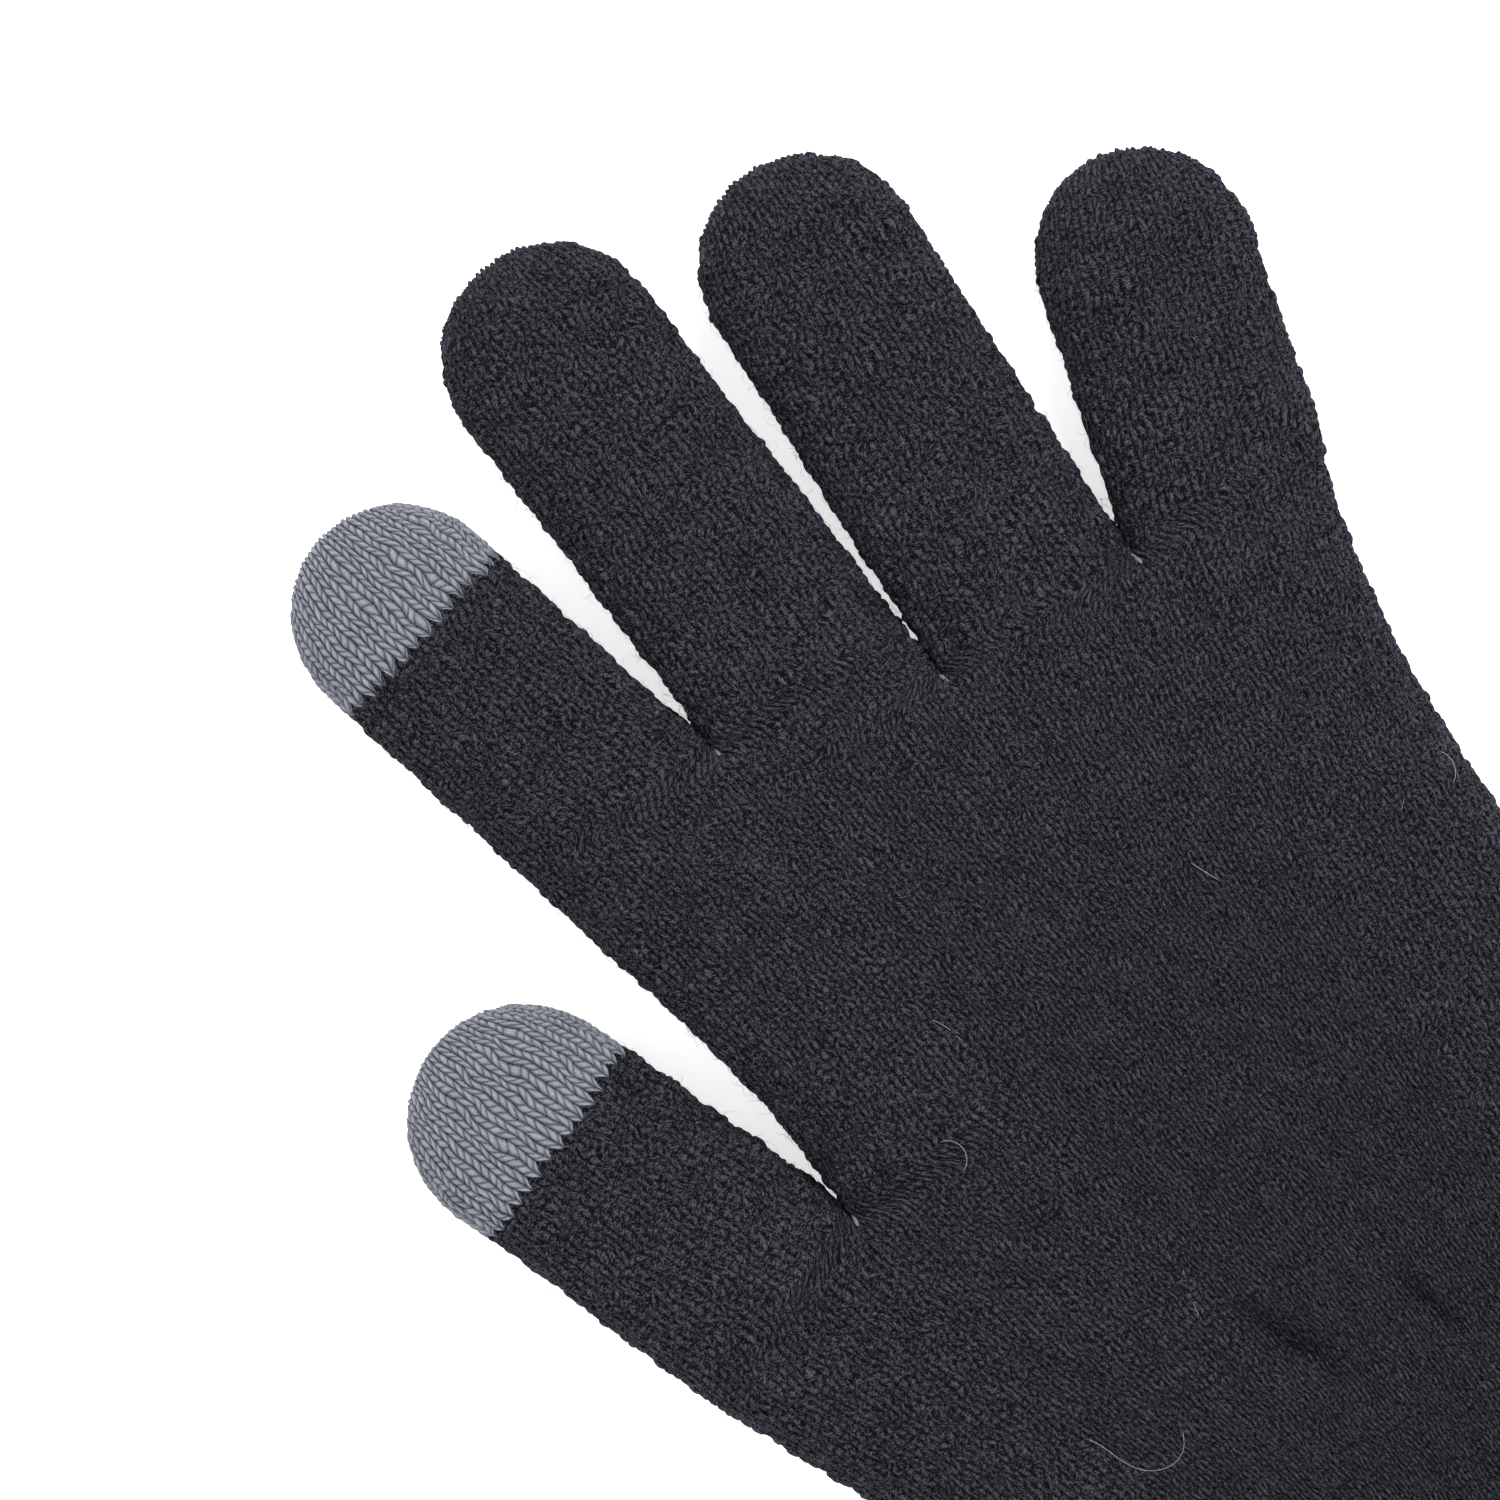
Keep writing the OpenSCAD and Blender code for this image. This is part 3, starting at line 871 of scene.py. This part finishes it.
def knit_material(name, grey_from=None):
    """Knitted yarn in stitch coordinates: black and brushed, turning to smooth grey at a course."""
    material = bpy.data.materials.new(name)
    n = Nodes(material)
    uv = n.add("ShaderNodeUVMap", uv_map="stitch").outputs[0]
    split = n.add("ShaderNodeSeparateXYZ")
    n.feed(uv, split.inputs[0])
    wale, course = split.outputs[0], split.outputs[1]
    flat = n.combine(n.times(wale, MEAN_WALE), n.times(course, COURSE))
    side = n.times(n.math("ABSOLUTE", n.minus(n.math("FRACT", wale), 0.5)), 2.0)
    climb = n.minus(course, n.times(side, SLANT))
    ridge = n.minus(1.0, n.math("POWER", n.off_middle(side), RIDGE_POWER))
    notch = n.times(n.math("POWER", n.off_middle(n.math("FRACT", climb)), NOTCH_POWER), NOTCH_DEPTH)
    leg = n.times(ridge, n.minus(1.0, notch))
    # Filaments lie along the legs, so the fine noise is squeezed across them
    half_wale = n.math("FLOOR", n.times(wale, 2.0))
    filament_at = n.combine(n.times(side, 1.6), n.times(climb, 0.7), n.times(half_wale, 3.7))
    filament = n.noise(filament_at, 3.2, 3.0, 0.6)
    speck = n.noise(flat, 1.9, 3.0, 0.7)
    grain = n.noise(flat, 5.5, 2.0, 0.6)
    mottle = n.noise(flat, 0.22)
    tint = n.noise(flat, 0.35, 1.0)
    tone_and_painted_shade_value = n.add("ShaderNodeAttribute", attribute_name="tone").outputs["Fac"]

    # Painted shade: the legs' height lightens the colour on the legs and darkens it in the grooves between
    # them; the stored tone adds random tone and painted shade
    share = n.plus(n.times(leg, 0.55), -0.13, n.spread(speck, 3.8), n.spread(grain, 4.2),
                   n.spread(filament, 1.3), n.spread(mottle, 0.4), n.spread(tone_and_painted_shade_value, 0.22))
    black = n.mix(n.clamp(share), srgb(6, 7, 10), srgb(75, 76, 86))
    warm = n.mix(1.0, black, (1.12, 1.05, 0.86, 1), "MULTIPLY")
    colour = n.mix(n.clamp(n.spread(tint, 2.4)), black, warm)
    height = n.plus(n.times(leg, 0.55), n.times(speck, 0.8))
    if grey_from is not None:
        # Painted shade here too: the grey is lighter on the legs and darker in the grooves between them
        share = n.plus(n.times(leg, 0.8), 0.02, n.spread(filament, 0.6), n.spread(grain, 0.9),
                       n.spread(tone_and_painted_shade_value, 0.16))
        grey = n.mix(n.clamp(share), srgb(42, 45, 57), srgb(152, 155, 164))
        is_grey = n.math("GREATER_THAN", n.minus(course, n.times(side, TOOTH)), grey_from - TOOTH_MARGIN)
        colour = n.mix(is_grey, colour, grey)
        level = n.add("ShaderNodeMix", data_type="FLOAT")
        n.feed(is_grey, level.inputs[0])
        n.feed(height, level.inputs[2])
        n.feed(n.plus(n.times(leg, 0.9), n.times(filament, 0.25)), level.inputs[3])
        height = level.outputs[0]
    n.surface(colour, height, KNIT_BUMP, n.plus(0.86, n.times(speck, 0.12)), KNIT_SHEEN, srgb(150, 158, 175))
    return material


def thread_material(name, dark, light, scale):
    """Plain twisted yarn or covered rubber, mottled along its length."""
    material = bpy.data.materials.new(name)
    n = Nodes(material)
    place = n.add("ShaderNodeTexCoord").outputs["Object"]
    grain = n.noise(place, scale, 3.0, 0.6)
    broad = n.noise(place, scale * 0.2, 2.0)
    share = n.clamp(n.plus(n.times(grain, 0.7), n.times(broad, 0.3)))
    n.surface(n.mix(share, dark, light), grain, THREAD_BUMP, n.plus(0.75, n.times(grain, 0.2)),
              THREAD_SHEEN, srgb(200, 204, 214))
    return material


BLACK_KNIT = knit_material("brushed_black_knit")
TWO_TONE = {n: knit_material(f"{FINGERS[n].name}_two_tone_knit", GREY_FROM[n]) for n in (0, 1)}
CROTCH_THREAD = thread_material("crotch_thread", srgb(96, 98, 98), srgb(150, 152, 150), 2500)
LINT = thread_material("lint", srgb(140, 141, 144), srgb(190, 190, 190), 1200)
ELASTIC = thread_material("covered_elastic", srgb(150, 149, 143), srgb(214, 212, 204), 1800)
BLACK_YARN = thread_material("black_yarn", srgb(24, 25, 31), srgb(62, 64, 74), 2500)
GREY_YARN = thread_material("grey_yarn", srgb(84, 87, 100), srgb(160, 163, 174), 2500)

# ---- cutting the surface into pieces ----

strip_of, front_of, row_of, column_of = quad_label.T


def row_at(strip, s):
    """The first mesh row at or beyond s along the finger."""
    return int(np.searchsorted(strip.row_s, s))


def bend(piece):
    """Bakes a piece's placement into its mesh points."""
    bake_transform(piece)


def bend_between(piece):
    """Bakes a piece's placement into its mesh points, as bend does."""
    bend(piece)


def rows_between(number, first, last):
    return (strip_of == number) & (row_of >= first) & (row_of < last)


THUMB_ROOT_BELOW = 6     # the thumb's base starts this far below its crotch
THUMB_SLEEVE_AFTER = 9   # and its sleeve this far past its root's fold
TIP_FUZZ = 0.15          # the smooth grey knit has fewer loose fibres
CUFF_FUZZ = 0.6


def make_thumb():
    strip = STRIPS[0]
    root = strip.right_crotch - int(THUMB_ROOT_BELOW / ROW_STEP)
    second = row_at(strip, FIRST_FOLD + THUMB_SLEEVE_AFTER)
    base = cut_piece("thumb_base_knit", rows_between(0, root, second), BLACK_KNIT)
    bend(base)
    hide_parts("thumb_base")
    grey = grey_quads(0)
    sleeve = cut_piece("thumb_sleeve_knit", rows_between(0, second, strip.rows) & ~grey, TWO_TONE[0])
    bend_between(sleeve)
    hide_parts("thumb_sleeve")
    touch = cut_piece("thumb_touch_tip_knit", rows_between(0, second, strip.rows) & grey, TWO_TONE[0],
                      TIP_FUZZ)
    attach(touch, "thumb_end")
    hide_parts("thumb_touch_tip")
    return root


def grey_quads(number):
    """The quads of a strip that are knitted in grey."""
    centre = quad_stitch.mean(1)
    side = np.abs(centre[:, 0] - np.floor(centre[:, 0]) - 0.5) * 2
    return (strip_of == number) & (centre[:, 1] - TOOTH * side >= GREY_FROM[number] - TOOTH_MARGIN)


def make_finger(number):
    strip = STRIPS[number]
    name = strip.finger.name
    folds = [f"{name}_knuckle", f"{name}_middle_joint", f"{name}_end_joint"]
    at = [(joint_point(f) - strip.finger.origin) @ strip.finger.along for f in folds]
    root = strip.higher_crotch
    second = row_at(strip, (at[0] + at[1]) / 2)
    third = row_at(strip, (at[1] + at[2]) / 2)
    base = cut_piece(f"{name}_base_knit", rows_between(number, root, second), BLACK_KNIT)
    bend_between(base)
    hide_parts(f"{name}_base")
    middle = cut_piece(f"{name}_middle_knit", rows_between(number, second, third), BLACK_KNIT)
    bend_between(middle)
    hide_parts(f"{name}_middle")
    tip_quads = rows_between(number, third, strip.rows)
    if number == 1:
        grey = grey_quads(number)
        collar = cut_piece(f"{name}_collar_knit", tip_quads & ~grey, TWO_TONE[number])
        bend(collar)
        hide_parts(f"{name}_middle")
        tip = cut_piece(f"{name}_touch_tip_knit", tip_quads & grey, TWO_TONE[number], TIP_FUZZ)
        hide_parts(f"{name}_touch_tip")
    else:
        tip = cut_piece(f"{name}_tip_knit", tip_quads, BLACK_KNIT)
        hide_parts(f"{name}_tip")
    bend(tip)
    return root


finger_roots = {0: make_thumb()}
for number in range(1, 5):
    finger_roots[number] = make_finger(number)

cuff_quads = row_of < FIRST_HAND_ROW
below_roots = np.zeros(len(quads), bool)
for number, root in finger_roots.items():
    below_roots |= (strip_of == number) & (row_of < root)
for name, front in (("palm_knit", 1), ("hand_back_knit", 0)):
    face = cut_piece(name, ~cuff_quads & below_roots & (front_of == front), BLACK_KNIT)
    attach(face, "hand")
    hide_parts("hand_tube")

cuff = cut_piece("wrist_cuff_knit", cuff_quads, BLACK_KNIT, CUFF_FUZZ)
bend(cuff)
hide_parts("wrist_cuff")


# ---- hem, lining and elastic of the cuff ----

CUFF_ROUNDING = 14.0
WRIST_FLARE = 0.5        # how much the lining widens towards the thumb, past the wrist


def cuff_ring(y, inset, share, taper=1.0):
    """Points round the cuff's section at y, drawn in by inset. Share runs from 0 to 1 round it."""
    y, inset, share = np.broadcast_arrays(np.asarray(y, float), inset, share)
    flat = y.ravel()
    left = smooth_curve(CUFF_LEFT_EDGE, np.minimum(flat, WRIST_Y), EDGE_BLUR).reshape(y.shape)
    left = left - np.clip(y - WRIST_Y, 0, None) * WRIST_FLARE
    right = smooth_curve(RIGHT_EDGE, flat, EDGE_BLUR).reshape(y.shape)
    half = smooth_curve(HALF_THICKNESS, flat, THICKNESS_BLUR).reshape(y.shape)
    left, right = left + inset, right - inset
    turn = share * 2 * np.pi
    x = mix(left, right, (1 - np.cos(turn)) / 2)
    front = np.sin(turn) >= 0
    inward = [np.clip(d / CUFF_ROUNDING, 0, 1) for d in (x - left, right - x)]
    crown = np.prod([(1 - (1 - d) ** SQUARENESS) ** (1 / SQUARENESS) for d in inward], axis=0) * taper
    upper = half + (half - inset) * crown
    lower = np.maximum(FLOOR + inset, half - SINK * (half - inset) * crown)
    lower = mix(half, lower, np.minimum(1, crown * LOWER_EASE))
    return np.stack([x, y, np.maximum(np.where(front, upper, lower), FIBRE_BOTTOM)], -1)


def share_round(count):
    """`count` even steps from 0 to just short of 1."""
    return np.arange(count) / count


def grid_piece(name, grid, stitch_scale, material, close_rows=False, flip=False):
    """A piece from a grid of points whose columns join up, and whose rows may."""
    rows, columns = grid.shape[:2]
    index = np.arange(rows * columns)
    shade = scatter(index // 4, 2)
    index = np.pad(index.reshape(rows, columns), ((0, int(close_rows)), (0, 1)), mode="wrap")
    row, column = np.mgrid[0:index.shape[0], 0:index.shape[1]]
    order = [3, 2, 1, 0] if flip else [0, 1, 2, 3]
    faces = cell_corners(index, order)
    steps = cell_corners(np.stack([column, row], -1).astype(float), order)
    bake = steps / steps.max((0, 1, 2))
    stitch = steps * np.array(stitch_scale)
    return new_piece(name, grid.reshape(-1, 3), faces.reshape(-1, 4), stitch.reshape(-1, 2),
                     bake.reshape(-1, 2), shade, material)


# The hem's rolled band: points round the cuff and round the band, its reach along Y and in depth
HEM_GRID = (900, 14)
HEM_REACH = 1.75
HEM_INSET = 0.85
HEM_DEPTH = 1.35
HEM_SQUARENESS = 0.7
OVERLOCK_TURNS = 180
OVERLOCK_SWELL = 0.10


def make_hem():
    """Overlocked edge: a rolled band wound with yarn."""
    around, section = HEM_GRID
    share = share_round(around)[None, :]
    turn = share_round(section)[:, None] * 2 * np.pi
    wound = np.sin(share * 2 * np.pi * OVERLOCK_TURNS + turn)
    bulge_y, bulge_z = [np.sign(wave) * np.abs(wave) ** HEM_SQUARENESS
                        for wave in (np.cos(turn), np.sin(turn))]
    swell = 1 + OVERLOCK_SWELL * wound
    y = (HEM_TOP + HEM_END) / 2 + HEM_REACH * bulge_y * swell
    inset = HEM_INSET - HEM_DEPTH * bulge_z * swell
    ring = cuff_ring(y, inset, share + 0.5 / around)
    hem = grid_piece("cuff_hem_knit", ring, (0.2, 0.5), BLACK_KNIT, True)
    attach(hem, "cuff")
    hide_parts("cuff_hem")


LINING_INSET = 1.8
LINING_START = HEM_END + 1.2
LINING_END = -42.0
LINING_TAPER = 22        # length over which the lining draws together at its end
LINING_GRID = (340, 90)


def make_lining():
    """The inside of the cuff and wrist, closing like a pocket out of sight in the hand."""
    around, rows = LINING_GRID
    share = ((np.arange(around) + 0.5) / around)[None, :]
    y = np.linspace(LINING_START, LINING_END, rows)[:, None]
    taper = 1 - fade(y, LINING_END - LINING_TAPER, LINING_TAPER)
    ring = cuff_ring(y, LINING_INSET, share, taper)
    lining = grid_piece("cuff_lining_knit", ring, (0.25, 0.8), BLACK_KNIT, flip=True)
    bend(lining)


ELASTIC_RADIUS = 0.5
ELASTIC_INSET = 2.5
ELASTIC_YARNS = 6
ELASTIC_GRID = (300, 8)


def make_elastic():
    """Covered elastic yarns lying round the inside of the cuff."""
    low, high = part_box("cuff_elastic")
    levels = np.linspace(low.y / MM + ELASTIC_RADIUS, high.y / MM - ELASTIC_RADIUS, ELASTIC_YARNS)
    around, section = ELASTIC_GRID
    share = share_round(around)[None, :] + 0.002
    turn = share_round(section)[:, None] * 2 * np.pi
    for number, level in enumerate(levels):
        ring = cuff_ring(level + ELASTIC_RADIUS * np.cos(turn),
                         ELASTIC_INSET + ELASTIC_RADIUS * np.sin(turn), share)
        loop = grid_piece(f"cuff_elastic_yarn_{number + 1}", ring, (0.5, 0.5), ELASTIC, True)
        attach(loop, "cuff")
        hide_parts("cuff_elastic")


make_hem()
make_lining()
make_elastic()


# ---- threads ----

TUBE_END = 0.3           # a thread's ends taper to this share of its radius


def tube(name, path, radius, sides, material):
    """A closed tube of yarn along a path."""
    path = np.asarray(path, float)
    ahead = np.gradient(path, axis=0)
    ahead /= np.linalg.norm(ahead, axis=1, keepdims=True)
    up = np.array([0, 0, 1.0])
    side = np.cross(ahead, up)
    side /= np.linalg.norm(side, axis=1, keepdims=True)
    lift = np.cross(side, ahead)
    turn = share_round(sides) * 2 * np.pi
    thin = np.full(len(path), radius)
    thin[[0, -1]] = radius * TUBE_END
    rings = (path[:, None] + thin[:, None, None] * (side[:, None] * np.cos(turn)[:, None]
                                                    + lift[:, None] * np.sin(turn)[:, None]))
    return grid_piece(name, rings, (0.3, 0.3), material)


CROTCH_THREAD_ROWS = 10
CROTCH_THREAD_RADIUS = 0.24
CROTCH_THREAD_LIFT = 0.3


def make_crotch_threads():
    """The short loop of yarn that closes the knit at each crotch, on both faces."""
    for number, strip in enumerate(STRIPS[:4]):
        for front in (True, False):
            rows = strip.right_crotch + 1 + np.arange(-CROTCH_THREAD_ROWS, 0)
            where = alias[ids[number, front][rows, -1]]
            path = points[where] + base_normals[where] * CROTCH_THREAD_LIFT
            face = "front" if front else "back"
            name = f"{FINGERS[number].name}_crotch_thread_{face}"
            thread = tube(name, path, CROTCH_THREAD_RADIUS, 8, CROTCH_THREAD)
            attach(thread, "hand")


# The longest stray hair, curled on the heel of the hand
HAIR = [(-25.3, -28.5), (-24.2, -30.4), (-23.6, -33.6), (-21.6, -36.2), (-18.8, -37), (-16.6, -36),
        (-15.8, -34)]
HAIR_POINTS = 40
HAIR_RADIUS = 0.025
HAIR_LIFT = 0.45
LINT_ROWS = slice(FIRST_HAND_ROW + 60, FIRST_HAND_ROW + 330)
LINT_FIBRES = 7
LINT_STEPS = 10
LINT_LENGTH = (3, 7)
LINT_CURL = (-0.5, 0.5)
LINT_RADIUS = 0.03
LINT_LIFT = 0.12
LINT_SEED = 5


def lay_fibre(name, path, radius, sides):
    fibre = tube(name, path, radius, sides, LINT)
    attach(fibre, "hand")


def make_lint():
    """A few long stray fibres on the palm, each curling one way."""
    palm = alias[np.concatenate([ids[n, True][LINT_ROWS, 5:-5].ravel() for n in range(1, 5)])]
    stray = np.random.default_rng(LINT_SEED)
    for number in range(LINT_FIBRES):
        root = palm[stray.integers(0, len(palm))]
        heading, curl = stray.uniform(0, TURN), stray.uniform(*LINT_CURL)
        length = stray.uniform(*LINT_LENGTH)
        path = [points[root] + np.array([0, 0, LINT_LIFT])]
        for step in range(LINT_STEPS):
            heading += curl * 0.5
            ahead = np.array([math.cos(heading), math.sin(heading), 0.02 * math.sin(step)])
            path.append(path[-1] + ahead * length / LINT_STEPS)
        lay_fibre(f"lint_{number + 1}", path, LINT_RADIUS, 5)


def make_hair():
    """The longest fibre, laid along its own curve at the height of the stitches under it."""
    along = np.linspace(0, len(HAIR) - 1, HAIR_POINTS)
    hair = np.stack([smooth_curve(list(enumerate(axis)), along, 0.5) for axis in zip(*HAIR)], 1)
    surface = np.concatenate([points[alias[ids[n, True]]].reshape(-1, 3) for n in (1, 0, 2)])
    height = [surface[np.argmin(((surface[:, :2] - at) ** 2).sum(1)), 2] for at in hair]
    level = smooth_curve(list(enumerate(height)), np.arange(len(hair)), 3) + HAIR_LIFT
    lay_fibre("lint_hair", np.column_stack([hair, level]), HAIR_RADIUS, 6)


make_crotch_threads()
make_lint()
make_hair()

for node, part in frame["nodes"].items():
    if node.endswith("closing_yarn"):
        yarn = GREY_YARN if node.startswith(("index", "thumb")) else BLACK_YARN
        part.data.materials.clear()
        part.data.materials.append(yarn)

# ---- floor, light and camera ----

FLOOR_GLOW = 0.65        # a light table under the glove, which keeps its shadow faint
FLOOR_SIZE = 6
PAPER_BUMP = 0.00002


def make_floor():
    bpy.ops.mesh.primitive_plane_add(size=FLOOR_SIZE, location=(0, 0, 0))
    floor = bpy.context.object
    floor.name = "floor"
    paper = bpy.data.materials.new("paper")
    n = Nodes(paper)
    grain = n.noise(n.add("ShaderNodeTexCoord").outputs["Object"], 400)
    colour = n.mix(grain, (0.93, 0.93, 0.93, 1), (0.96, 0.96, 0.96, 1))
    n.surface(colour, grain, PAPER_BUMP, 0.9, 0.0, (1, 1, 1, 1), FLOOR_GLOW)
    floor.data.materials.append(paper)


make_floor()


def soft_light(name, location, size, power):
    data = bpy.data.lights.new(name, "AREA")
    data.shape = "DISK"
    data.size = size
    data.energy = power
    light = bpy.data.objects.new(name, data)
    bpy.context.scene.collection.objects.link(light)
    light.location = location
    light.rotation_euler = (-light.location).to_track_quat("-Z", "Y").to_euler()


soft_light("key_light", (0.75, 0.85, 0.9), 0.5, 13.0)
soft_light("fill_light", (-0.9, -0.5, 1.3), 1.4, 3.0)

world = bpy.data.worlds.new("studio")
world.use_nodes = True
world.node_tree.nodes["Background"].inputs["Color"].default_value = (1, 1, 1, 1)
world.node_tree.nodes["Background"].inputs["Strength"].default_value = 1.0
bpy.context.scene.world = world
bpy.context.scene.view_settings.view_transform = "Standard"

VIEW_CENTRE = (-11.6, 59.3)
VIEW_WIDTH = 178.5
VIEW_TURN = -35.0
LENS = 85.0
SENSOR = 36.0
camera_data = bpy.data.cameras.new("camera")
camera_data.lens = LENS
camera_data.sensor_width = SENSOR
camera = bpy.data.objects.new("camera", camera_data)
bpy.context.scene.collection.objects.link(camera)
camera.location = (VIEW_CENTRE[0] * MM, VIEW_CENTRE[1] * MM,
                   (VIEW_WIDTH * LENS / SENSOR + FINGER_HALF_H) * MM)
camera.rotation_euler = (0, 0, math.radians(VIEW_TURN))
bpy.context.scene.camera = camera
